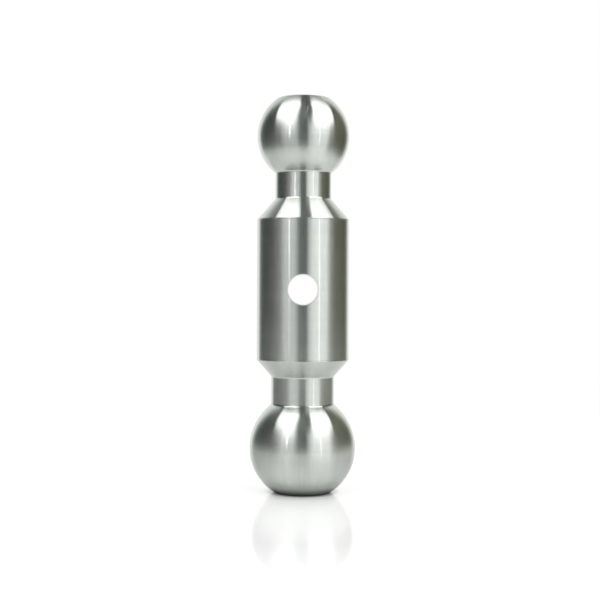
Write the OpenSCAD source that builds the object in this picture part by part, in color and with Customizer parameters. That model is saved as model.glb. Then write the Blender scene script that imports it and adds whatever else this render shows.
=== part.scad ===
// Double-ended tow ball: a cross-drilled barrel with a trailer ball screwed into each end.
// Origin: centre of the cross-pin hole. +Z runs up the barrel to the smaller ball, and the hole runs along Y.

/* [Upper ball] */
// Diameter of the smaller ball, the 2 inch size
upper_ball_d = 50.8; // [42:0.1:61]
// Diameter of the flat on the end of the smaller ball
upper_flat_d = 28.5; // [20:0.1:36]
// Diameter of the smaller ball's neck
upper_neck_d = 30.9; // [28:0.1:38]
// Straight height of the smaller ball's neck, from the shoulder cone to the sphere
upper_neck_len = 14.3; // [10:0.1:25]

/* [Lower ball] */
// Diameter of the larger ball, the 2-5/16 inch size
lower_ball_d = 58.74; // [48.5:0.01:71]
// Diameter of the flat that the larger ball stands on
lower_flat_d = 30.8; // [20:0.1:40]
// Diameter of the larger ball's neck
lower_neck_d = 34.8; // [28:0.1:42]
// Straight height of the larger ball's neck, from the shoulder cone to the sphere
lower_neck_len = 15.4; // [10:0.1:25]

/* [Shoulders] */
// Slope of the shoulder cones, in degrees from the axis
shoulder_slope = 41.3; // [30:0.1:60]
// Straight rim of a shoulder, between its cone and its seat on the barrel
shoulder_rim = 0.6; // [0.4:0.1:4]
// Radius of the fillets where a neck meets its ball and its shoulder
neck_fillet_r = 1.6; // [0.8:0.1:3]

/* [Barrel] */
// Diameter of the barrel, just over the smaller ball so that a sleeve passes them both
barrel_d = 51; // [42.5:0.1:62]
// Length of the barrel between the seats of the two shoulders
barrel_len = 76; // [63:0.1:95]
// Diameter of the cross hole, for a 5/8 inch hitch pin
pin_hole_d = 16.67; // [13:0.01:20]
// Edge break all round the seats
edge_break = 0.15; // [0.05:0.05:0.5]

/* [Stud threads] */
// Major diameter of the thread, the 1 inch shank of a trailer ball
thread_d = 25.4; // [21:0.1:30]
// Pitch of the thread, 14 turns to the inch
thread_pitch = 1.814; // [1.5:0.001:2.54]
// Radial clearance between the stud's thread and the barrel's
thread_clearance = 0.1; // [0.05:0.01:0.2]
// Free space between the end of a stud and the bottom of its socket
stud_end_gap = 1.5; // [0.5:0.1:4]
// Metal left between the bottom of a socket and the cross hole
socket_web = 2.6; // [1.5:0.1:6]

/* [Lock washers] */
// Width of the ring on the barrel's end that a shoulder seats on, outside the washer's recess
seat_w = 4.4; // [2:0.1:6]
// Thickness of the washer's sheet
washer_t = 1.5; // [1:0.1:2.5]
// Number of teeth round the inside of the washer
washer_teeth = 14; // [8:1:24]
// Twist of each tooth out of the sheet, in degrees
tooth_twist = 7; // [3:0.5:15]
// Clearance round the washer, to the stud and to its recess
washer_clearance = 0.3; // [0.1:0.05:1]

/* [Centre marks] */
// Diameter of the centre-drill mark in each ball's flat
centre_mark_d = 5; // [3:0.1:8]

/* [Hidden] */
$fn = 128;

// Overlap that joins two solids, or carries a cut past a face
lap = 0.5;

barrel_r = barrel_d / 2;
seat_z = barrel_len / 2;

// Unified thread form, as shares of the pitch: 60 degree flanks, cut off flat at crest and root
flank_rise = 5 / 16;
crest_flat = 1 / 8;
thread_depth = thread_pitch * flank_rise / tan(30);
thread_r = thread_d / 2;
thread_root_r = thread_r - thread_depth;
turn_sides = 24;

// Depth of the runout relief under the thread's root, and how far a mouth opens past its crest
relief_cut = 0.3;
mouth_lead = 0.2;
relief_r = thread_root_r - relief_cut;
mouth_r = thread_r + thread_clearance + mouth_lead;
mouth_chamfer = mouth_r - thread_root_r;

// The washer's teeth fill half of the circle between them. Their corners reach the recess's floor
// and the shoulder when the joint is tight.
recess_r = barrel_r - seat_w;
washer_d = 2 * (recess_r - washer_clearance);
tooth_len = (washer_d - thread_d) / 4;
tooth_w = PI * (thread_r + tooth_len / 2) / washer_teeth;
tooth_gap = 0.02;
recess_depth = washer_t * cos(tooth_twist) + tooth_w * sin(tooth_twist) + 2 * tooth_gap;

socket_bottom_z = -(seat_z - pin_hole_d / 2 - socket_web);
stud_end_z = socket_bottom_z + stud_end_gap;

// Half-chord of a sphere at a distance from its centre, and the other way round
function reach(sphere_r, side) = sqrt(sphere_r * sphere_r - side * side);

// Heights over the seat: the top of the shoulder cone, and the centre of the ball
function shoulder_top(neck_d) = shoulder_rim + (barrel_d - neck_d) / 2 / tan(shoulder_slope);
function ball_centre(ball_d, neck_d, neck_len) =
    shoulder_top(neck_d) + neck_len + reach(ball_d / 2, neck_d / 2);

// Places one end's frame, with its seat at z = 0 and its ball above, at either end of the barrel
module at_upper_end() {
    translate([0, 0, seat_z]) children();
}

module at_lower_end() {
    translate([0, 0, -seat_z]) rotate([180, 0, 0]) children();
}

// A right-hand screw from z = -turns * pitch upwards. Every column of points round the axis is one
// step further up the helix, and the last column meets the first one a turn higher.
module screw_body(grow, turns) {
    rise = [0, flank_rise, flank_rise + crest_flat, 2 * flank_rise + crest_flat];
    radius = [thread_root_r, thread_r, thread_r, thread_root_r];
    rows = 4 * (turns + 1);
    last = turn_sides - 1;
    function place(i, j) = let (
        a = 360 * i / turn_sides,
        r = radius[j % 4] + grow,
        z = thread_pitch * (floor(j / 4) + rise[j % 4] + i / turn_sides - turns)
    ) [r * cos(a), r * sin(a), z];
    function at(i, j) = i * (rows + 1) + j;
    points = [
        for (i = [0:last]) for (j = [0:rows]) place(i, j),
        [0, 0, -turns * thread_pitch],
        [0, 0, 2 * thread_pitch]
    ];
    foot = turn_sides * (rows + 1);
    head = foot + 1;
    foot_ring = [for (j = [0:4]) at(0, j), for (i = [last:-1:0]) at(i, 0)];
    head_ring = [for (i = [0:last]) at(i, rows), for (k = [1:4]) at(last, rows - k), at(0, rows)];
    walls = [
        for (i = [0:last - 1]) for (j = [0:rows - 1])
            each [[at(i, j), at(i, j + 1), at(i + 1, j + 1)], [at(i, j), at(i + 1, j + 1), at(i + 1, j)]],
        for (j = [0:rows - 5])
            each [[at(last, j), at(last, j + 1), at(0, j + 5)], [at(last, j), at(0, j + 5), at(0, j + 4)]]
    ];
    feet = [for (k = [0:len(foot_ring) - 2]) [foot, foot_ring[k + 1], foot_ring[k]]];
    heads = [for (k = [0:len(head_ring) - 2]) [head, head_ring[k + 1], head_ring[k]]];
    polyhedron(points, [each walls, each feet, each heads]);
}

// The screw between two heights, cut to a 45 degree lead that starts at end_r
module screw(grow, low_z, high_z, end_r) {
    turns = ceil(-low_z / thread_pitch) + 1;
    clear_r = thread_r + grow + lap;
    intersection() {
        screw_body(grow, turns);
        rotate_extrude() polygon([
            [0, low_z],
            [end_r, low_z],
            [clear_r, low_z + clear_r - end_r],
            [clear_r, high_z],
            [0, high_z]
        ]);
    }
}

// Web between two surfaces that a fillet's circle touches, less the circle itself
module fillet_profile(corners, centre) {
    difference() {
        polygon([each corners, centre]);
        translate(centre) circle(neck_fillet_r);
    }
}

// Half outline of a ball, its flat, its neck and its shoulder, above the seat
module ball_profile(ball_d, flat_d, neck_d, neck_len) {
    ball_r = ball_d / 2;
    neck_r = neck_d / 2;
    cone_top = shoulder_top(neck_d);
    centre_z = ball_centre(ball_d, neck_d, neck_len);
    flat_z = centre_z + reach(ball_r, flat_d / 2);
    fillet_x = neck_r + neck_fillet_r;

    intersection() {
        translate([0, centre_z]) circle(ball_r);
        translate([0, shoulder_rim]) square([barrel_r * 2, flat_z - shoulder_rim]);
    }
    square([neck_r, centre_z]);
    polygon([
        [0, 0],
        [barrel_r - edge_break, 0],
        [barrel_r, edge_break],
        [barrel_r, shoulder_rim],
        [neck_r, cone_top],
        [0, cone_top]
    ]);

    // Fillet under the ball: its circle touches the neck and the sphere
    under_z = centre_z - reach(ball_r + neck_fillet_r, fillet_x);
    share = ball_r / (ball_r + neck_fillet_r);
    touch = [fillet_x * share, centre_z + (under_z - centre_z) * share];
    inner = neck_r - lap;
    fillet_profile([[neck_r, under_z], [inner, under_z], [inner, touch[1]], touch], [fillet_x, under_z]);

    // Fillet over the shoulder: its circle touches the neck and the cone
    over_z = cone_top + neck_fillet_r * tan(shoulder_slope / 2);
    foot = [fillet_x, over_z] - neck_fillet_r * [cos(shoulder_slope), sin(shoulder_slope)];
    fillet_profile([foot, [inner, foot[1]], [inner, over_z], [neck_r, over_z]], [fillet_x, over_z]);
}

// A 60 degree centre hole below z = 0, with a pilot of a third of its width
module centre_mark() {
    mouth = centre_mark_d / 2;
    pilot = mouth / 3;
    rotate_extrude() polygon([
        [0, lap],
        [mouth + lap * tan(30), lap],
        [pilot, (pilot - mouth) / tan(30)],
        [pilot, -centre_mark_d],
        [0, -centre_mark_d]
    ]);
}

// One end piece: ball, neck and shoulder above the seat, relief and threaded stud below it
module ball_end(ball_d, flat_d, neck_d, neck_len) {
    flat_z = ball_centre(ball_d, neck_d, neck_len) + reach(ball_d / 2, flat_d / 2);
    thread_top = -recess_depth - mouth_chamfer;
    difference() {
        union() {
            rotate_extrude() ball_profile(ball_d, flat_d, neck_d, neck_len);
            translate([0, 0, thread_top - lap]) cylinder(r = relief_r, h = 2 * lap - thread_top);
            screw(0, stud_end_z, thread_top, relief_r);
        }
        translate([0, 0, flat_z]) centre_mark();
    }
}

// Everything that is cut out of one end of the barrel: washer recess, mouth chamfer and threaded socket
module socket() {
    translate([0, 0, -recess_depth]) cylinder(r = recess_r, h = recess_depth + lap);
    translate([0, 0, -recess_depth]) rotate_extrude() polygon([
        [0, lap],
        [mouth_r + lap, lap],
        [mouth_r - mouth_chamfer, -mouth_chamfer],
        [0, -mouth_chamfer]
    ]);
    screw(thread_clearance, socket_bottom_z, -recess_depth + lap, thread_r + thread_clearance + lap);
}

module toothed_washer() {
    ring_in = washer_d / 2 - tooth_len;
    tooth_in = thread_r + washer_clearance;
    translate([0, 0, -recess_depth / 2]) {
        difference() {
            cylinder(d = washer_d, h = washer_t, center = true);
            cylinder(r = ring_in, h = washer_t + 2 * lap, center = true);
        }
        intersection() {
            for (i = [0:washer_teeth - 1])
                rotate([0, 0, 360 * i / washer_teeth])
                    rotate([tooth_twist, 0, 0])
                        translate([thread_r, -tooth_w / 2, -washer_t / 2])
                            cube([ring_in + lap - thread_r, tooth_w, washer_t]);
            difference() {
                cylinder(r = ring_in + lap, h = recess_depth, center = true);
                cylinder(r = tooth_in, h = recess_depth + 2 * lap, center = true);
            }
        }
    }
}

module barrel() {
    color([0.66, 0.67, 0.65])
        difference() {
            rotate_extrude() polygon([
                [0, -seat_z],
                [barrel_r - edge_break, -seat_z],
                [barrel_r, -seat_z + edge_break],
                [barrel_r, seat_z - edge_break],
                [barrel_r - edge_break, seat_z],
                [0, seat_z]
            ]);
            rotate([90, 0, 0]) cylinder(d = pin_hole_d, h = barrel_d + 2 * lap, center = true);
            at_upper_end() socket();
            at_lower_end() socket();
        }
}

module upper_ball() {
    color([0.74, 0.74, 0.72])
        at_upper_end() ball_end(upper_ball_d, upper_flat_d, upper_neck_d, upper_neck_len);
}

module lower_ball() {
    color([0.74, 0.74, 0.72])
        at_lower_end() ball_end(lower_ball_d, lower_flat_d, lower_neck_d, lower_neck_len);
}

module upper_lock_washer() {
    color([0.42, 0.43, 0.45])
        at_upper_end() toothed_washer();
}

module lower_lock_washer() {
    color([0.42, 0.43, 0.45])
        at_lower_end() toothed_washer();
}

barrel();
upper_ball();
lower_ball();
upper_lock_washer();
lower_lock_washer();
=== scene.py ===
import math

import bpy
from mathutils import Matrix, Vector


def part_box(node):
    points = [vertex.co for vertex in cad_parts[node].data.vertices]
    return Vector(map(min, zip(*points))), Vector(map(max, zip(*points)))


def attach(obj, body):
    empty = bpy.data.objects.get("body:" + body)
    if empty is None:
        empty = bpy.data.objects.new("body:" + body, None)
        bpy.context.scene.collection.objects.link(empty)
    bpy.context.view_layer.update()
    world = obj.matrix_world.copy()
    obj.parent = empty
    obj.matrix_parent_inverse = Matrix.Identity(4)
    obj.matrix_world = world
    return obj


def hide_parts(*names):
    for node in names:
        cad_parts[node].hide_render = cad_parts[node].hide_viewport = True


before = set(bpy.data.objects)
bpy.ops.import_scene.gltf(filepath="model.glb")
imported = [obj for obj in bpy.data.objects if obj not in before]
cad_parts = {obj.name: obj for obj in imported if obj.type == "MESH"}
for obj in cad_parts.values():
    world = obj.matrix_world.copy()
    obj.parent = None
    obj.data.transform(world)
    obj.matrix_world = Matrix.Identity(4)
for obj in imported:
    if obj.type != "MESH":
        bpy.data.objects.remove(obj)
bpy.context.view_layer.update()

# ---------------------------------------------------------------- sizes, in metres, as in the CAD source
MM = 0.001
BARREL_R = 25.5 * MM
SEAT_Z = 38 * MM
PIN_HOLE_R = 8.335 * MM
EDGE_BREAK = 0.15 * MM
SHOULDER_RIM = 0.6 * MM
SHOULDER_SLOPE = math.radians(41.3)
NECK_FILLET_R = 1.6 * MM
CENTRE_MARK_R = 2.5 * MM
CENTRE_MARK_BREAK = 0.1 * MM
CENTRE_MARK_SLOPE = math.radians(30)

UPPER_BALL = {"ball_r": 25.4 * MM, "flat_r": 14.25 * MM, "neck_r": 15.45 * MM, "neck_len": 14.3 * MM}
LOWER_BALL = {"ball_r": 29.37 * MM, "flat_r": 15.4 * MM, "neck_r": 17.4 * MM, "neck_len": 15.4 * MM}

# The thread is 1 in - 14. Rise and flat are shares of the pitch.
THREAD_R = 12.7 * MM
THREAD_PITCH = 1.814 * MM
FLANK_RISE = 5 / 16
CREST_FLAT = 1 / 8
FLANK_SLOPE = math.radians(30)
THREAD_DEPTH = THREAD_PITCH * FLANK_RISE / math.tan(FLANK_SLOPE)
THREAD_ROOT_R = THREAD_R - THREAD_DEPTH
THREAD_CLEARANCE = 0.1 * MM
RELIEF_R = THREAD_ROOT_R - 0.3 * MM
MOUTH_R = THREAD_R + THREAD_CLEARANCE + 0.2 * MM
MOUTH_CHAMFER = MOUTH_R - THREAD_ROOT_R
STUD_END_GAP = 1.5 * MM
SOCKET_WEB = 2.6 * MM

SEAT_RING_W = 4.4 * MM
RECESS_R = BARREL_R - SEAT_RING_W
WASHER_T = 1.5 * MM
WASHER_TEETH = 14
TOOTH_TWIST = math.radians(7)
TOOTH_ROOT_LAP = 0.4 * MM
WASHER_CLEARANCE = 0.3 * MM
WASHER_PLAY = 0.04 * MM
WASHER_R = RECESS_R - WASHER_CLEARANCE
TOOTH_LEN = (WASHER_R - THREAD_R) / 2
TOOTH_W = math.pi * (THREAD_R + TOOTH_LEN / 2) / WASHER_TEETH
RECESS_DEPTH = WASHER_T * math.cos(TOOTH_TWIST) + TOOTH_W * math.sin(TOOTH_TWIST) + WASHER_PLAY

# Heights over a ball end's seat, so what lies inside the barrel is below zero.
SOCKET_BOTTOM = -(SEAT_Z - PIN_HOLE_R - SOCKET_WEB)
STUD_END = SOCKET_BOTTOM + STUD_END_GAP
STUD_BODY_END = STUD_END + 1 * MM
THREAD_TOP = -RECESS_DEPTH - MOUTH_CHAMFER

# Fine edges of the finished metal: the ball's round into its flat, the rim's round into the cone,
# and the break on the cross hole's rims.
FLAT_EDGE_R = 0.8 * MM
RIM_ROUND_DROP = 0.05 * MM
HOLE_RIM_BREAK = 0.12 * MM

# How finely each shape is drawn, and how far one shape is run into or past the next.
BALL_SIDES = 192
BARREL_SIDES = 288
BARREL_ROWS = 20
SOCKET_SIDES = 192
HOLE_SIDES = 144
LEAD_SIDES = 96
WASHER_SIDES = 168
THREAD_STEPS = 48
SPARE_TURNS = 3
END_SPARE = 0.4 * THREAD_PITCH
RIM_STEPS = 2
FILLET_STEPS = 8
BALL_STEPS = 72
FLAT_EDGE_STEPS = 5
LAP = 0.5 * MM
WELD = 1e-7
SMOOTH_ANGLE = math.radians(20)

# How near a point has to be to count as on the cross hole's rim, the barrel's skin or the bore's wall,
# and how far under the skin the bore's wall starts.
ON_HOLE = 0.02 * MM
ON_SKIN = 0.03 * MM
ON_WALL = 0.1 * MM
UNDER_SKIN = 0.25 * MM


# ---------------------------------------------------------------- small helpers
def deselect_all():
    bpy.ops.object.select_all(action="DESELECT")


def pick(piece):
    """Makes one piece the only selected one and the active one."""
    deselect_all()
    piece.select_set(True)
    bpy.context.view_layer.objects.active = piece


def active():
    return bpy.context.object


def new_material(name):
    material = bpy.data.materials.new(name)
    material.use_nodes = True
    tree = material.node_tree
    tree.nodes.clear()
    return material, tree


def node(tree, kind, **settings):
    made = tree.nodes.new(kind)
    for key, value in settings.items():
        setattr(made, key, value)
    return made


def math_node(tree, operation, first, second=None):
    made = node(tree, "ShaderNodeMath", operation=operation)
    for socket, value in zip(made.inputs, (first, second)):
        if value is None:
            continue
        if isinstance(value, (int, float)):
            socket.default_value = value
        else:
            tree.links.new(value, socket)
    return made.outputs[0]


def add(tree, first, second):
    return math_node(tree, "ADD", first, second)


def times(tree, first, second):
    return math_node(tree, "MULTIPLY", first, second)


def spread(tree, value, low, high, to_low, to_high):
    """Maps a value from one range to another, and holds it at the ends."""
    remap = node(tree, "ShaderNodeMapRange")
    for socket, number in zip(remap.inputs[1:5], (low, high, to_low, to_high)):
        socket.default_value = number
    tree.links.new(value, remap.inputs[0])
    return remap.outputs[0]


def off_axis(tree, x, y):
    """How far a place lies from the object's long axis."""
    return math_node(tree, "SQRT", add(tree, times(tree, x, x), times(tree, y, y)))


# ---------------------------------------------------------------- modelling helpers
def edit(select=None):
    """Opens edit mode on the active piece, and selects or deselects everything there if told to."""
    bpy.ops.object.mode_set(mode="EDIT")
    if select is not None:
        bpy.ops.mesh.select_all(action=select)


def done():
    bpy.ops.object.mode_set(mode="OBJECT")


def apply_all(piece):
    pick(piece)
    for modifier in list(piece.modifiers):
        bpy.ops.object.modifier_apply(modifier=modifier.name)


def combine(piece, tool, operation):
    """Adds, cuts or keeps what the tool covers, and takes the tool away."""
    modifier = piece.modifiers.new("combine", "BOOLEAN")
    modifier.operation = operation
    modifier.solver = "EXACT"
    modifier.object = tool
    apply_all(piece)
    bpy.data.objects.remove(tool)
    return piece


def face_outwards():
    bpy.ops.mesh.select_all(action="SELECT")
    bpy.ops.mesh.normals_make_consistent(inside=False)


def turned_body(name, outline, sides):
    """A round body, drawn up ring by ring: outline is (radius, height) from its first face to its last."""
    deselect_all()
    radius, height = outline[0]
    bpy.ops.mesh.primitive_circle_add(
        vertices=sides, radius=radius, fill_type="NGON", location=(0, 0, 0)
    )
    piece = active()
    piece.name = name
    edit("SELECT")
    bpy.ops.transform.translate(value=(0, 0, height))
    for next_radius, next_height in outline[1:]:
        bpy.ops.mesh.extrude_region_move(
            TRANSFORM_OT_translate={"value": (0, 0, next_height - height)}
        )
        scale = next_radius / radius
        bpy.ops.transform.resize(value=(scale, scale, 1), center_override=(0, 0, next_height))
        radius, height = next_radius, next_height
    face_outwards()
    done()
    return piece


def arc(centre, radius, start, end, steps):
    """Points of an arc in the plane of radius and height, angles in radians from the outward direction."""
    return [
        (centre[0] + radius * math.cos(start + (end - start) * i / steps),
         centre[1] + radius * math.sin(start + (end - start) * i / steps))
        for i in range(steps + 1)
    ]


def turn_over(piece):
    """Turns what was made for the upper end half round the X axis, so that a thread keeps its hand."""
    pick(piece)
    edit("SELECT")
    bpy.ops.transform.resize(value=(1, -1, -1), center_override=(0, 0, 0))
    done()


def to_seat(piece, upper):
    """Moves what was made from its seat up to its own end of the barrel."""
    if not upper:
        turn_over(piece)
    pick(piece)
    edit("SELECT")
    bpy.ops.transform.translate(value=(0, 0, SEAT_Z if upper else -SEAT_Z))
    done()
    return piece


# ---------------------------------------------------------------- threads
def thread_profile(grow, start):
    """One turn of the thread from root to root, as (radius, height)."""
    profile = [
        (THREAD_ROOT_R, 0), (THREAD_R, FLANK_RISE), (THREAD_R, FLANK_RISE + CREST_FLAT),
        (THREAD_ROOT_R, 2 * FLANK_RISE + CREST_FLAT), (THREAD_ROOT_R, 1),
    ]
    return [(r + grow, start + z * THREAD_PITCH) for r, z in profile]


def draw_profile(name, points):
    """A line of edges through the points, drawn from one vertex."""
    deselect_all()
    bpy.ops.mesh.primitive_plane_add(size=1, location=(0, 0, 0))
    line = active()
    line.name = name
    edit("SELECT")
    bpy.ops.mesh.merge(type="CENTER")
    bpy.ops.transform.translate(value=(points[0][0], 0, points[0][1]))
    for before, after in zip(points, points[1:]):
        bpy.ops.mesh.extrude_region_move(
            TRANSFORM_OT_translate={"value": (after[0] - before[0], 0, after[1] - before[1])}
        )
    done()
    return line


def wind_up(rod, turns):
    helix = rod.modifiers.new("helix", "SCREW")
    helix.axis = "Z"
    helix.angle = 2 * math.pi
    helix.steps = THREAD_STEPS
    helix.render_steps = THREAD_STEPS
    helix.iterations = turns
    helix.screw_offset = THREAD_PITCH
    apply_all(rod)


def close_ends(low, high):
    """Cuts the active wound thread off square at two heights and fills both ends."""
    edit("SELECT")
    bpy.ops.mesh.remove_doubles(threshold=WELD)
    for height, keep_above in ((low, True), (high, False)):
        bpy.ops.mesh.select_all(action="SELECT")
        bpy.ops.mesh.bisect(
            plane_co=(0, 0, height), plane_no=(0, 0, 1), use_fill=True,
            clear_inner=keep_above, clear_outer=not keep_above,
        )
    face_outwards()
    done()


def screw_rod(name, grow, low, high, end_r):
    """A right-hand threaded rod between two heights, with a 45 degree lead at its low end."""
    rod = draw_profile(name, thread_profile(grow, low - SPARE_TURNS / 2 * THREAD_PITCH))
    wind_up(rod, math.ceil((high - low) / THREAD_PITCH) + SPARE_TURNS)
    close_ends(low - END_SPARE, high)
    clear_r = THREAD_R + grow + LAP
    envelope = [(end_r, low), (end_r, high + LAP)]
    if end_r < clear_r:
        envelope = [(end_r, low), (clear_r, low + clear_r - end_r), (clear_r, high + LAP)]
    return combine(rod, turned_body("lead", envelope, LEAD_SIDES), "INTERSECT")


# ---------------------------------------------------------------- ball ends
def centre_mark(flat):
    """The dimple that the lathe's centre leaves: an edge break, a cone and a short pilot hole."""
    pilot_r = CENTRE_MARK_R / 3
    cone_end = flat - (CENTRE_MARK_R - pilot_r) / math.tan(CENTRE_MARK_SLOPE)
    return [
        (CENTRE_MARK_R + CENTRE_MARK_BREAK, flat),
        (CENTRE_MARK_R, flat - CENTRE_MARK_BREAK),
        (pilot_r, cone_end),
        (pilot_r, flat - 2 * CENTRE_MARK_R),
    ]


def ball_outline(ball_r, flat_r, neck_r, neck_len):
    """Half outline over the seat: rim, shoulder cone, fillet, neck, fillet, ball, flat and centre mark."""
    cone_top = SHOULDER_RIM + (BARREL_R - neck_r) / math.tan(SHOULDER_SLOPE)
    centre = cone_top + neck_len + math.sqrt(ball_r ** 2 - neck_r ** 2)
    flat = centre + math.sqrt(ball_r ** 2 - flat_r ** 2)
    fillet_x = neck_r + NECK_FILLET_R
    over = cone_top + NECK_FILLET_R * math.tan(SHOULDER_SLOPE / 2)
    under = centre - math.sqrt((ball_r + NECK_FILLET_R) ** 2 - fillet_x ** 2)
    touch = math.atan2(under - centre, fillet_x)
    edge_x = math.sqrt((ball_r - FLAT_EDGE_R) ** 2 - (flat - FLAT_EDGE_R - centre) ** 2)
    flat_angle = math.atan2(flat - FLAT_EDGE_R - centre, edge_x)
    rim_round = (BARREL_R - EDGE_BREAK, SHOULDER_RIM - RIM_ROUND_DROP)
    flat_round = (edge_x, flat - FLAT_EDGE_R)
    points = [(BARREL_R - EDGE_BREAK, 0), (BARREL_R, EDGE_BREAK)]
    points += arc(rim_round, EDGE_BREAK, 0, math.pi / 2 - SHOULDER_SLOPE, RIM_STEPS)
    points += arc((fillet_x, over), NECK_FILLET_R, math.pi + SHOULDER_SLOPE, math.pi, FILLET_STEPS)
    points += arc((fillet_x, under), NECK_FILLET_R, math.pi, math.pi + touch, FILLET_STEPS)
    points += arc((0, centre), ball_r, touch, flat_angle, BALL_STEPS)[1:]
    points += arc(flat_round, FLAT_EDGE_R, flat_angle, math.pi / 2, FLAT_EDGE_STEPS)[1:]
    return points + centre_mark(flat)


def ball_end(name, upper, sizes):
    stud_core = [(RELIEF_R, STUD_BODY_END), (RELIEF_R, 0)]
    piece = turned_body(name, stud_core + ball_outline(**sizes), BALL_SIDES)
    stud = screw_rod(name + "_stud", 0, STUD_END, THREAD_TOP, RELIEF_R)
    combine(piece, stud, "UNION")
    return to_seat(piece, upper)


# ---------------------------------------------------------------- barrel
def socket_tool(name, upper):
    """What is cut out of one end of the barrel: the washer's recess, the mouth's lead and the thread."""
    mouth_and_recess = [
        (MOUTH_R - MOUTH_CHAMFER, THREAD_TOP), (MOUTH_R, -RECESS_DEPTH),
        (RECESS_R, -RECESS_DEPTH), (RECESS_R, LAP),
    ]
    hole = turned_body(name, mouth_and_recess, SOCKET_SIDES)
    thread_top = -RECESS_DEPTH + 0.5 * LAP
    blunt_end_r = THREAD_R + THREAD_CLEARANCE + LAP
    thread = screw_rod(name + "_thread", THREAD_CLEARANCE, SOCKET_BOTTOM, thread_top, blunt_end_r)
    return to_seat(combine(thread, hole, "UNION"), upper)


def round_hole_rims(piece):
    """Breaks the two sharp rims that the cross hole leaves in the barrel's side."""
    edit("DESELECT")
    bpy.ops.mesh.select_mode(type="EDGE")
    done()
    for edge in piece.data.edges:
        ends = [piece.data.vertices[i].co for i in edge.vertices]
        on_hole = all(abs(math.hypot(p.x, p.z) - PIN_HOLE_R) < ON_HOLE for p in ends)
        on_skin = all(abs(math.hypot(p.x, p.y) - BARREL_R) < ON_SKIN for p in ends)
        edge.select = on_hole and on_skin
    edit()
    bpy.ops.mesh.bevel(offset=HOLE_RIM_BREAK, segments=2, affect="EDGES")
    done()


def barrel(name):
    half = SEAT_Z - EDGE_BREAK
    rows = [-half + 2 * half * i / BARREL_ROWS for i in range(BARREL_ROWS + 1)]
    outline = [(BARREL_R - EDGE_BREAK, -SEAT_Z)]
    outline += [(BARREL_R, z) for z in rows]
    outline += [(BARREL_R - EDGE_BREAK, SEAT_Z)]
    piece = turned_body(name, outline, BARREL_SIDES)
    for upper in (True, False):
        combine(piece, socket_tool("socket", upper), "DIFFERENCE")
    deselect_all()
    bpy.ops.mesh.primitive_cylinder_add(
        vertices=HOLE_SIDES, radius=PIN_HOLE_R, depth=2 * BARREL_R + 4 * LAP, rotation=(math.pi / 2, 0, 0)
    )
    combine(piece, active(), "DIFFERENCE")
    pick(piece)
    round_hole_rims(piece)
    return piece


def line_bore(piece, bore_steel):
    """Gives the wall of the cross hole its own reamed finish."""
    piece.data.materials.append(bore_steel)
    for face in piece.data.polygons:
        on_wall = abs(math.hypot(face.center.x, face.center.z) - PIN_HOLE_R) < ON_WALL
        inside = math.hypot(face.center.x, face.center.y) < BARREL_R - UNDER_SKIN
        face.material_index = 1 if on_wall and inside else 0


# ---------------------------------------------------------------- lock washers
def washer_ring(name, ring_in):
    deselect_all()
    bpy.ops.mesh.primitive_circle_add(
        vertices=WASHER_SIDES, radius=WASHER_R, fill_type="NGON", location=(0, 0, 0)
    )
    ring = active()
    ring.name = name
    edit("SELECT")
    bpy.ops.mesh.inset(thickness=WASHER_R - ring_in)
    bpy.ops.mesh.delete(type="FACE")
    bpy.ops.mesh.select_all(action="SELECT")
    bpy.ops.transform.translate(value=(0, 0, -WASHER_T / 2))
    bpy.ops.mesh.extrude_region_move(TRANSFORM_OT_translate={"value": (0, 0, WASHER_T)})
    face_outwards()
    done()
    return ring


def washer_tooth(ring_in, angle):
    root = ring_in + TOOTH_ROOT_LAP
    tip = THREAD_R + WASHER_CLEARANCE
    deselect_all()
    bpy.ops.mesh.primitive_cube_add(size=1, location=(0, 0, 0))
    tooth = active()
    edit("SELECT")
    bpy.ops.transform.resize(value=(root - tip, TOOTH_W, WASHER_T), center_override=(0, 0, 0))
    bpy.ops.transform.rotate(value=TOOTH_TWIST, orient_axis="X", center_override=(0, 0, 0))
    bpy.ops.transform.translate(value=((root + tip) / 2, 0, 0))
    bpy.ops.transform.rotate(value=angle, orient_axis="Z", center_override=(0, 0, 0))
    done()
    return tooth


def star_washer(name, upper):
    """A spring lock washer: a flat ring with teeth round its inside, each twisted out of the sheet."""
    ring_in = WASHER_R - TOOTH_LEN
    piece = washer_ring(name, ring_in)
    for i in range(WASHER_TEETH):
        combine(piece, washer_tooth(ring_in, -2 * math.pi * i / WASHER_TEETH), "UNION")
    edit("SELECT")
    bpy.ops.transform.translate(value=(0, 0, -RECESS_DEPTH / 2))
    done()
    return to_seat(piece, upper)


# ---------------------------------------------------------------- metal
# Rings, marks, haze, bloom, mottle and grain are noise scales: the higher, the finer.
# A noise band is the part of a noise's range that is spread over the whole change.
NOISE_BAND = (0.3, 0.7)
QUARTER_TURN = 0.25

STAINLESS = (0.6, 0.628, 0.592)
TURNED_ROUGHNESS = 0.195
FINE_RINGS = 2200
FINE_ROUGHNESS = 0.012
FEED_RINGS = 420
FEED_TONE = 0.02
FEED_SHARE = 0.6
RING_DEPTH = 0.0006 * MM
HAZE = 45
HAZE_BAND = (0.45, 0.75)
HAZE_ROUGHNESS = 0.03
WIPE_MARKS = 26
WIPE_STRETCH = 2.5
WIPE_BAND = (0.35, 0.7)
BALL_WIPE = 0.045
BARREL_WIPE = 0.035

# The short scratch high on the front of the upper ball: its ends as (x, z), its depth in ring depths.
NICK = {"foot": (0.75 * MM, 92.9 * MM), "head": (2.35 * MM, 98.8 * MM), "bow": -0.5 * MM, "width": 0.3 * MM}
NICK_ROUGHNESS = 0.5
NICK_DEPTH = 40.0
NICK_FADE = 16.0

BORE_RINGS = 1500
BORE_ROUGHNESS = 0.2
BORE_ROUGHNESS_RANGE = (0.17, 0.23)
BORE_RING_DEPTH = 0.001 * MM

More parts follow.
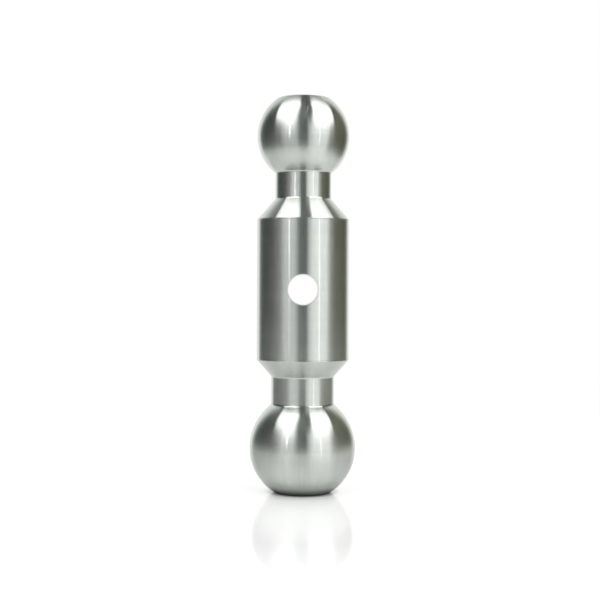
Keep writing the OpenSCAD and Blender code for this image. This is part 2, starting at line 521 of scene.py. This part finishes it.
SPRING_GREY = (0.32, 0.33, 0.34)
SPRING_OIL = (0.30, 0.31, 0.33)
SPRING_STRAW = (0.38, 0.35, 0.29)
SPRING_ROUGHNESS = 0.36
SPRING_ROUGHNESS_RANGE = (0.3, 0.44)
SPRING_BLOOM = 160
BLOOM_BAND = (0.4, 0.7)
SPRING_MOTTLE = 900
SPRING_GRAIN = 700
SPRING_GRAIN_DEPTH = 0.01 * MM


def noise_node(tree, place, scale, detail=2.0, roughness=0.5):
    noise = node(tree, "ShaderNodeTexNoise")
    noise.inputs["Scale"].default_value = scale
    noise.inputs["Detail"].default_value = detail
    noise.inputs["Roughness"].default_value = roughness
    tree.links.new(place, noise.inputs["Vector"])
    return noise.outputs[0]


def bump_node(tree, height, distance, shader):
    bump = node(tree, "ShaderNodeBump")
    bump.inputs["Strength"].default_value = 1
    bump.inputs["Distance"].default_value = distance
    tree.links.new(height, bump.inputs["Height"])
    tree.links.new(bump.outputs[0], shader.inputs["Normal"])


def lay_of_the_lathe(tree, radius, z):
    """A place that is the same all the way round the axis, so a pattern on it comes out as rings."""
    rings = node(tree, "ShaderNodeCombineXYZ")
    tree.links.new(radius, rings.inputs[0])
    tree.links.new(z, rings.inputs[1])
    return rings.outputs[0]


def wipe_direction(tree, x, y, z, radius):
    """A place that hardly changes along the axis, so a pattern on it comes out as long wipe marks."""
    wipes = node(tree, "ShaderNodeCombineXYZ")
    tree.links.new(math_node(tree, "DIVIDE", x, radius), wipes.inputs[0])
    tree.links.new(math_node(tree, "DIVIDE", y, radius), wipes.inputs[1])
    tree.links.new(times(tree, z, WIPE_STRETCH), wipes.inputs[2])
    return wipes.outputs[0]


def nick_mask(tree, x, y, z, foot, head, bow, width):
    """A short bowed scratch on the front of a ball, from foot to head, faded at both ends."""
    along = spread(tree, z, foot[1], head[1], 0, 1)
    # The hump is 0 at both ends of the scratch and a quarter in its middle.
    hump = times(tree, along, math_node(tree, "SUBTRACT", 1.0, along))
    bowed = times(tree, hump, -4 * bow)
    straight = add(tree, times(tree, along, head[0] - foot[0]), foot[0])
    off = math_node(tree, "ABSOLUTE", math_node(tree, "SUBTRACT", x, add(tree, straight, bowed)))
    line = spread(tree, off, 0, width, 1, 0)
    ends = math_node(tree, "MINIMUM", times(tree, hump, NICK_FADE), 1.0)
    front = math_node(tree, "LESS_THAN", y, 0.0)
    return times(tree, times(tree, line, ends), front)


def steel_shader(tree, colour, roughness, anisotropy):
    """Bare metal. The quarter turn lays its smear, where it has one, across the lathe's rings."""
    shader = node(tree, "ShaderNodeBsdfPrincipled")
    shader.inputs["Base Color"].default_value = (*colour, 1)
    shader.inputs["Metallic"].default_value = 1
    shader.inputs["Roughness"].default_value = roughness
    shader.inputs["Anisotropic"].default_value = anisotropy
    shader.inputs["Anisotropic Rotation"].default_value = QUARTER_TURN
    out = node(tree, "ShaderNodeOutputMaterial")
    tree.links.new(shader.outputs[0], out.inputs["Surface"])
    return shader


def shade_colour(tree, colour, tone, shader):
    """Lightens and darkens a plain colour by a tone round 1."""
    tint = node(tree, "ShaderNodeMix", data_type="RGBA", blend_type="MULTIPLY")
    tint.inputs["Factor"].default_value = 1
    tint.inputs["A"].default_value = (*colour, 1)
    tree.links.new(tone, tint.inputs["B"])
    tree.links.new(tint.outputs["Result"], shader.inputs["Base Color"])


def turned_steel(name, wipe, nick=None):
    """Steel turned on a lathe: fine rings run round the axis, so reflections smear along it."""
    material, tree = new_material(name)
    place = node(tree, "ShaderNodeTexCoord").outputs["Object"]
    split = node(tree, "ShaderNodeSeparateXYZ")
    tree.links.new(place, split.inputs[0])
    x, y, z = split.outputs
    radius = off_axis(tree, x, y)
    lay = lay_of_the_lathe(tree, radius, z)

    fine_rings = noise_node(tree, lay, FINE_RINGS, detail=3)
    feed_rings = noise_node(tree, lay, FEED_RINGS)
    along = wipe_direction(tree, x, y, z, radius)
    wipes = noise_node(tree, along, WIPE_MARKS, detail=3, roughness=0.6)
    haze = noise_node(tree, place, HAZE, detail=4, roughness=0.6)

    shader = steel_shader(tree, STAINLESS, TURNED_ROUGHNESS, 1.0)
    tangent = node(tree, "ShaderNodeTangent", direction_type="RADIAL", axis="Z")
    tree.links.new(tangent.outputs[0], shader.inputs["Tangent"])

    tone = add(tree, spread(tree, feed_rings, *NOISE_BAND, -FEED_TONE, FEED_TONE), 1.0)
    tone = add(tree, tone, spread(tree, wipes, *WIPE_BAND, -wipe, wipe))
    shade_colour(tree, STAINLESS, tone, shader)

    rough = spread(tree, fine_rings, *NOISE_BAND, -FINE_ROUGHNESS, FINE_ROUGHNESS)
    rough = add(tree, rough, TURNED_ROUGHNESS)
    rough = add(tree, rough, spread(tree, haze, *HAZE_BAND, 0, HAZE_ROUGHNESS))
    height = add(tree, fine_rings, times(tree, feed_rings, FEED_SHARE))
    if nick:
        mark = nick_mask(tree, x, y, z, **nick)
        rough = add(tree, rough, times(tree, mark, NICK_ROUGHNESS))
        height = math_node(tree, "SUBTRACT", height, times(tree, mark, NICK_DEPTH))
    tree.links.new(rough, shader.inputs["Roughness"])
    bump_node(tree, height, RING_DEPTH, shader)
    return material


def reamed_bore(name):
    """The wall of the cross hole: reamed smooth, with fine rings round the hole."""
    material, tree = new_material(name)
    split = node(tree, "ShaderNodeSeparateXYZ")
    tree.links.new(node(tree, "ShaderNodeTexCoord").outputs["Object"], split.inputs[0])
    rings = node(tree, "ShaderNodeCombineXYZ")
    tree.links.new(split.outputs[1], rings.inputs[1])
    grooves = noise_node(tree, rings.outputs[0], BORE_RINGS, detail=3)
    shader = steel_shader(tree, STAINLESS, BORE_ROUGHNESS, 0.0)
    rough = spread(tree, grooves, *NOISE_BAND, *BORE_ROUGHNESS_RANGE)
    tree.links.new(rough, shader.inputs["Roughness"])
    bump_node(tree, grooves, BORE_RING_DEPTH, shader)
    return material


def spring_steel(name):
    """Lock washers: rolled spring steel, oil-dark, with a faint straw bloom."""
    material, tree = new_material(name)
    place = node(tree, "ShaderNodeTexCoord").outputs["Object"]
    bloom = noise_node(tree, place, SPRING_BLOOM, detail=4, roughness=0.6)
    mottle = noise_node(tree, place, SPRING_MOTTLE, detail=3)
    grain = noise_node(tree, place, SPRING_GRAIN, detail=3)
    shader = steel_shader(tree, SPRING_GREY, SPRING_ROUGHNESS, 0.0)
    mix = node(tree, "ShaderNodeMix", data_type="RGBA")
    mix.inputs["A"].default_value = (*SPRING_OIL, 1)
    mix.inputs["B"].default_value = (*SPRING_STRAW, 1)
    tree.links.new(spread(tree, bloom, *BLOOM_BAND, 0, 1), mix.inputs["Factor"])
    tree.links.new(mix.outputs["Result"], shader.inputs["Base Color"])
    rough = spread(tree, mottle, *NOISE_BAND, *SPRING_ROUGHNESS_RANGE)
    tree.links.new(rough, shader.inputs["Roughness"])
    bump_node(tree, grain, SPRING_GRAIN_DEPTH, shader)
    return material


# ---------------------------------------------------------------- table and air
TABLE_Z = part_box("lower_ball")[0].z
TABLE_RADIUS = 0.4
TABLE_BACK = 0.1
TABLE_SIDES = 96
TABLE_PAINT = 0.87
TABLE_ROUGHNESS = 0.05

# The table's own light. Reach, start and end are pairs of distances from the object's axis:
# where a change begins and where it is complete.
# Painted contact shadow: the table's paint and its glow to the camera are darker close round the ball's
# flat, fully at the first distance and not at all from the second.
CONTACT_SHADOW_REACH = (0.0157, 0.0207)
CONTACT_SHADOW_PAINT = -0.77
CONTACT_SHADOW_GLOW = -0.15
GLOW = (0.24, 0.73)
GLOW_REACH = (0.14, 0.34)
SHEEN = (0.04, 0.16)
SHEEN_LEAN = -0.6
SHEEN_ACROSS = (0, 0.12)
SHEEN_REACH = (0.02, 0.09)
NEAR_LIFT = 0.12
NEAR_LIFT_START = (0.023, 0.03)
NEAR_LIFT_END = (0.03, 0.06)
FAR_LIFT = 0.07
FAR_LIFT_START = (0.1, 0.17)

# The air's strength as a light, and what is added where it is seen.
AIR_LIGHT = 0.9
AIR_SEEN = 0.1


def white_world():
    """Plain white air: a little under full strength as a light, and pure white where it is seen."""
    world = bpy.data.worlds.new("studio_air")
    bpy.context.scene.world = world
    world.use_nodes = True
    tree = world.node_tree
    tree.nodes.clear()
    path = node(tree, "ShaderNodeLightPath")
    seen = math_node(tree, "MAXIMUM", path.outputs["Is Camera Ray"], path.outputs["Is Glossy Ray"])
    seen = math_node(tree, "MAXIMUM", seen, path.outputs["Is Transmission Ray"])
    light = node(tree, "ShaderNodeBackground")
    light.inputs["Color"].default_value = (1, 1, 1, 1)
    tree.links.new(add(tree, times(tree, seen, AIR_SEEN), AIR_LIGHT), light.inputs["Strength"])
    out = node(tree, "ShaderNodeOutputWorld")
    tree.links.new(light.outputs[0], out.inputs["Surface"])


def table_sheen(tree, x, y, away):
    """What the metal sees on the table: light on its right front, and a lift both near and far."""
    right_front = add(tree, x, times(tree, y, SHEEN_LEAN))
    pool = spread(tree, right_front, *SHEEN_ACROSS, *SHEEN)
    pool = times(tree, pool, spread(tree, away, *SHEEN_REACH, 0, 1))
    rise = spread(tree, away, *NEAR_LIFT_START, 0, NEAR_LIFT)
    fall = spread(tree, away, *NEAR_LIFT_END, 1, 0)
    pool = add(tree, pool, times(tree, rise, fall))
    return add(tree, pool, spread(tree, away, *FAR_LIFT_START, 0, FAR_LIFT))


def table_material():
    """Glossy white table: white to the camera further out, and darker right under the ball, where a contact
    shadow is painted into its paint and its glow.
    """
    material, tree = new_material("white_table")
    link = tree.links.new
    path = node(tree, "ShaderNodeLightPath")
    place = node(tree, "ShaderNodeSeparateXYZ")
    link(node(tree, "ShaderNodeNewGeometry").outputs["Position"], place.inputs[0])
    x, y = place.outputs[:2]
    away = off_axis(tree, x, y)
    # The painted contact shadow: 1 at the ball's flat, 0 from a little way out.
    contact_shadow = spread(tree, away, *CONTACT_SHADOW_REACH, 1, 0)

    sheen = table_sheen(tree, x, y, away)
    seen = add(tree, times(tree, contact_shadow, CONTACT_SHADOW_GLOW), spread(tree, away, *GLOW_REACH, *GLOW))
    to_metal = times(tree, sheen, path.outputs["Is Glossy Ray"])
    to_camera = times(tree, seen, path.outputs["Is Camera Ray"])
    glow = node(tree, "ShaderNodeEmission")
    link(add(tree, to_metal, to_camera), glow.inputs["Strength"])

    paint = node(tree, "ShaderNodeBsdfPrincipled")
    link(add(tree, times(tree, contact_shadow, CONTACT_SHADOW_PAINT), TABLE_PAINT), paint.inputs["Base Color"])
    paint.inputs["Roughness"].default_value = TABLE_ROUGHNESS
    both = node(tree, "ShaderNodeAddShader")
    link(glow.outputs[0], both.inputs[0])
    link(paint.outputs[0], both.inputs[1])
    out = node(tree, "ShaderNodeOutputMaterial")
    link(both.outputs[0], out.inputs["Surface"])
    return material


def studio_table():
    deselect_all()
    bpy.ops.mesh.primitive_circle_add(
        vertices=TABLE_SIDES, radius=TABLE_RADIUS, fill_type="NGON", location=(0, TABLE_BACK, TABLE_Z)
    )
    table = active()
    table.name = "floor"
    table.data.materials.append(table_material())


# ---------------------------------------------------------------- cards and soft boxes
CARD_COLUMN_DEGREES = 4
CARD_COLUMNS_MIN = 4
CARD_ROWS = 10


def ramp_node(tree, position, stops):
    """A run of light levels or tints: stops are (share of the way, level or tint)."""
    ramp = node(tree, "ShaderNodeValToRGB")
    elements = ramp.color_ramp.elements
    elements.remove(elements[1])
    for i, (share, value) in enumerate(stops):
        element = elements[0] if i == 0 else elements.new(share)
        element.position = share
        element.color = (*value, 1) if isinstance(value, tuple) else (value, value, value, 1)
    tree.links.new(position, ramp.inputs["Fac"])
    return ramp.outputs["Color"]


def direction(azimuth, elevation):
    """Azimuth 0 points at the camera and grows to the right, both in degrees."""
    a, e = math.radians(azimuth), math.radians(elevation)
    return Vector((math.sin(a) * math.cos(e), -math.cos(a) * math.cos(e), math.sin(e)))


def between(outline, azimuth):
    """The lower and upper elevation of a card at an azimuth."""
    for (a0, *low), (a1, *high) in zip(outline, outline[1:]):
        if azimuth <= a1 or (a1, *high) == outline[-1]:
            t = (azimuth - a0) / (a1 - a0)
            return [u + (v - u) * t for u, v in zip(low, high)]


def card_light(name, stops, up, tints):
    """The light of a card: stops are (share across, level at the foot, level at the head)."""
    material, tree = new_material(name)
    link = tree.links.new
    place = node(tree, "ShaderNodeSeparateXYZ")
    link(node(tree, "ShaderNodeTexCoord").outputs["UV"], place.inputs[0])
    across, height = place.outputs[:2]
    foot = ramp_node(tree, across, [(share, low) for share, low, high in stops])
    head = ramp_node(tree, across, [(share, high) for share, low, high in stops])
    rest = math_node(tree, "SUBTRACT", 1.0, height)
    level = add(tree, times(tree, foot, rest), times(tree, head, height))
    level = times(tree, level, ramp_node(tree, height, up))
    glow = node(tree, "ShaderNodeEmission")
    link(level, glow.inputs["Strength"])
    link(ramp_node(tree, across, tints), glow.inputs["Color"])
    out = node(tree, "ShaderNodeOutputMaterial")
    link(glow.outputs[0], out.inputs["Surface"])
    return material


def studio_card(name, distance, outline, stops, up, tints):
    """A card or soft box bent round the object. The metal reflects it and the camera never sees it."""
    start = outline[0][0]
    end = outline[-1][0]
    columns = max(CARD_COLUMNS_MIN, int((end - start) / CARD_COLUMN_DEGREES))
    deselect_all()
    bpy.ops.mesh.primitive_grid_add(x_subdivisions=columns, y_subdivisions=CARD_ROWS, size=2)
    card = active()
    card.name = name
    for corner in card.data.vertices:
        azimuth = start + (end - start) * (corner.co.x + 1) / 2
        bottom, top = between(outline, azimuth)
        corner.co = direction(azimuth, bottom + (top - bottom) * (corner.co.y + 1) / 2) * distance

    def share(azimuth):
        return (azimuth - start) / (end - start)

    stops = [(share(azimuth), low, high) for azimuth, low, high in stops]
    tints = [(share(azimuth), tint) for azimuth, tint in tints]
    card.data.materials.append(card_light(name, stops, up, tints))
    card.visible_camera = False


PLAIN = (1.0, 1.0, 1.0)
COOL = (0.96, 1.05, 0.98)
WARM = (1.03, 1.03, 0.8)
ROSE = (1.03, 1.0, 1.0)
FAINT_ROSE = (1.02, 1.0, 1.0)
SKY = (0.96, 1.0, 1.04)
MINT = (0.95, 1.04, 1.0)
BLUISH = (0.97, 0.99, 1.06)

# Up a card, from its foot to its head: (share of the way up, part of the light that is left).
EVEN = [(0, 1.0), (1, 1.0)]
SOFT_ENDS = [(0, 0.8), (0.12, 1.0), (0.9, 1.0), (1, 0.7)]
RISING = [(0, 0.8), (0.45, 0.9), (0.75, 1.15), (1, 1.3)]
UPPER_HALF = [(0, 0.1), (0.45, 0.08), (0.56, 1.0), (1, 1.0)]

# Every card has an outline of (azimuth, foot's elevation, head's elevation)
# and light levels of (azimuth, level at the foot, level at the head).
# The horizon card goes round the object at its own height: dark at both sides and behind the camera,
# and pale in between.
HORIZON_OUTLINE = [
    (-140, -7, 36), (-115, -15, 36), (-95, -20.5, 36), (3, -37, 36),
    (105, -25, 36), (125, -19, 36), (146, -12, 36),
]
HORIZON_LIGHT = [
    (-140, 0.7, 0.7), (-133, 0.4, 0.4), (-125, 0.16, 0.08), (-106, 0.115, 0.04), (-84, 0.165, 0.07),
    (-62, 0.25, 0.27), (-54, 0.36, 0.58), (-47, 0.52, 0.98), (-37, 0.54, 1.14), (-20, 0.66, 0.74),
    (-8, 0.23, 0.16), (6, 0.2, 0.09), (9, 0.28, 0.18), (16, 0.86, 0.76), (24, 1.15, 1.1), (38, 1.25, 1.25),
    (60, 1.16, 1.18), (65, 0.74, 0.82), (72, 0.34, 0.4), (88, 0.18, 0.18), (122, 0.125, 0.145),
    (132, 0.23, 0.2), (140, 0.6, 0.6), (146, 0.85, 0.85),
]
HORIZON_TINTS = [
    (-140, COOL), (-98, COOL), (-82, ROSE), (-62, FAINT_ROSE), (-45, PLAIN), (-15, SKY),
    (0, MINT), (20, PLAIN), (62, PLAIN), (95, WARM), (135, WARM), (146, PLAIN),
]
LEFT_BOX_OUTLINE = [
    (-142, 63, 84), (-100, 50, 85), (-90, 41.5, 86), (-80, 35, 86), (-30, 25.5, 84), (-14, 22, 76),
]
LEFT_BOX_LIGHT = [
    (-142, 0.15, 0.15), (-134, 0.3, 0.3), (-118, 1.4, 1.4), (-105, 2.0, 2.1),
    (-33, 2.3, 2.8), (-22, 1.35, 1.7), (-14, 0.25, 0.25),
]
RIGHT_BOX_OUTLINE = [
    (15, 28, 36), (24, 26, 46), (34, 24, 57), (48, 22, 73), (66, 20.5, 80),
    (80, 26.5, 80), (90, 32.5, 79.5), (97, 40.5, 79), (135, 60, 76),
]
RIGHT_BOX_LIGHT = [
    (15, 0.2, 0.2), (27, 1.3, 1.6), (35, 2.0, 2.6), (104, 2.1, 2.2), (126, 0.6, 0.6), (135, 0.3, 0.3),
]
WALL_LIGHT = [
    (-138, 0.9, 0.9), (-127, 0.14, 0.14), (-20, 0.13, 0.13), (-8, 0.26, 0.26),
    (9, 0.26, 0.26), (20, 0.14, 0.14), (138, 0.14, 0.14),
]
WALL_TINTS = [(-138, COOL), (0, COOL), (20, PLAIN), (138, WARM)]


def thin_strips():
    """The two bright edges that run down the metal as fine lines."""
    studio_card(
        "bright_edge_left", 0.98, [(-35.7, -16, 26), (-33.1, -16, 26)],
        [(-35.7, 2.2, 2.2), (-34.4, 4.8, 4.8), (-33.1, 2.2, 2.2)],
        UPPER_HALF, [(-35.7, BLUISH), (-33.1, BLUISH)],
    )
    studio_card(
        "bright_edge_right", 2.3, [(39.6, -20, 36), (42, -20, 36)],
        [(39.6, 1.5, 1.6), (40.8, 2.3, 2.5), (42, 1.5, 1.6)],
        EVEN, [(39.6, PLAIN), (42, PLAIN)],
    )


def soft_boxes():
    studio_card(
        "softbox_left", 1.0, LEFT_BOX_OUTLINE, LEFT_BOX_LIGHT, SOFT_ENDS, [(-142, PLAIN), (-14, PLAIN)]
    )
    studio_card(
        "softbox_right", 1.0, RIGHT_BOX_OUTLINE, RIGHT_BOX_LIGHT, SOFT_ENDS, [(15, PLAIN), (135, PLAIN)]
    )


def dark_surround():
    """A dark wall and ceiling behind and over the soft boxes."""
    studio_card("dark_wall", 2.6, [(-138, 34, 90), (138, 34, 90)], WALL_LIGHT, EVEN, WALL_TINTS)
    studio_card(
        "dark_ceiling", 2.8, [(-180, 50, 90), (180, 50, 90)],
        [(-180, 0.13, 0.13), (180, 0.13, 0.13)], EVEN, [(-180, PLAIN), (180, PLAIN)],
    )


def studio_lighting():
    studio_card("horizon_card", 2.4, HORIZON_OUTLINE, HORIZON_LIGHT, RISING, HORIZON_TINTS)
    thin_strips()
    soft_boxes()
    dark_surround()


# ---------------------------------------------------------------- camera
CAMERA_LENS = 72
CAMERA_SENSOR = 36
CAMERA_SIDE = -0.0016
CAMERA_DISTANCE = 0.664
AIM_HEIGHT = -0.0057
CAMERA_ROLL = math.radians(0.24)


def front_camera():
    lens = bpy.data.cameras.new("camera")
    lens.lens = CAMERA_LENS
    lens.sensor_width = CAMERA_SENSOR
    camera = bpy.data.objects.new("camera", lens)
    bpy.context.scene.collection.objects.link(camera)
    camera.location = (CAMERA_SIDE, -CAMERA_DISTANCE, 0)
    aim = Vector((CAMERA_SIDE, 0, AIM_HEIGHT))
    turn = (aim - camera.location).to_track_quat("-Z", "Y").to_euler()
    turn.rotate_axis("Z", CAMERA_ROLL)
    camera.rotation_euler = turn
    bpy.context.scene.camera = camera


# ---------------------------------------------------------------- the scene
front_camera()
white_world()
studio_table()
studio_lighting()

upper_steel = turned_steel("upper_ball_steel", BALL_WIPE, NICK)
lower_steel = turned_steel("lower_ball_steel", BALL_WIPE)
barrel_steel = turned_steel("barrel_steel", BARREL_WIPE)
bore_steel = reamed_bore("bore_steel")
washer_steel = spring_steel("washer_steel")

# Each piece with the CAD node that it replaces, its slot and its steel.
PIECES = [
    (ball_end("upper_ball_turned", True, UPPER_BALL), "upper_ball", "ball_steel", upper_steel),
    (ball_end("lower_ball_turned", False, LOWER_BALL), "lower_ball", "ball_steel", lower_steel),
    (barrel("drilled_barrel"), "barrel", "barrel_steel", barrel_steel),
    (star_washer("upper_star_washer", True), "upper_lock_washer", "washer_steel", washer_steel),
    (star_washer("lower_star_washer", False), "lower_lock_washer", "washer_steel", washer_steel),
]
for piece, cad_node, slot, steel in PIECES:
    piece.data.materials.clear()
    piece.data.materials.append(steel)
    if cad_node == "barrel":
        line_bore(piece, bore_steel)
    pick(piece)
    bpy.ops.object.shade_smooth_by_angle(angle=SMOOTH_ANGLE)
    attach(piece, "root")
    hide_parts(cad_node)

bpy.context.scene.view_settings.view_transform = "Standard"
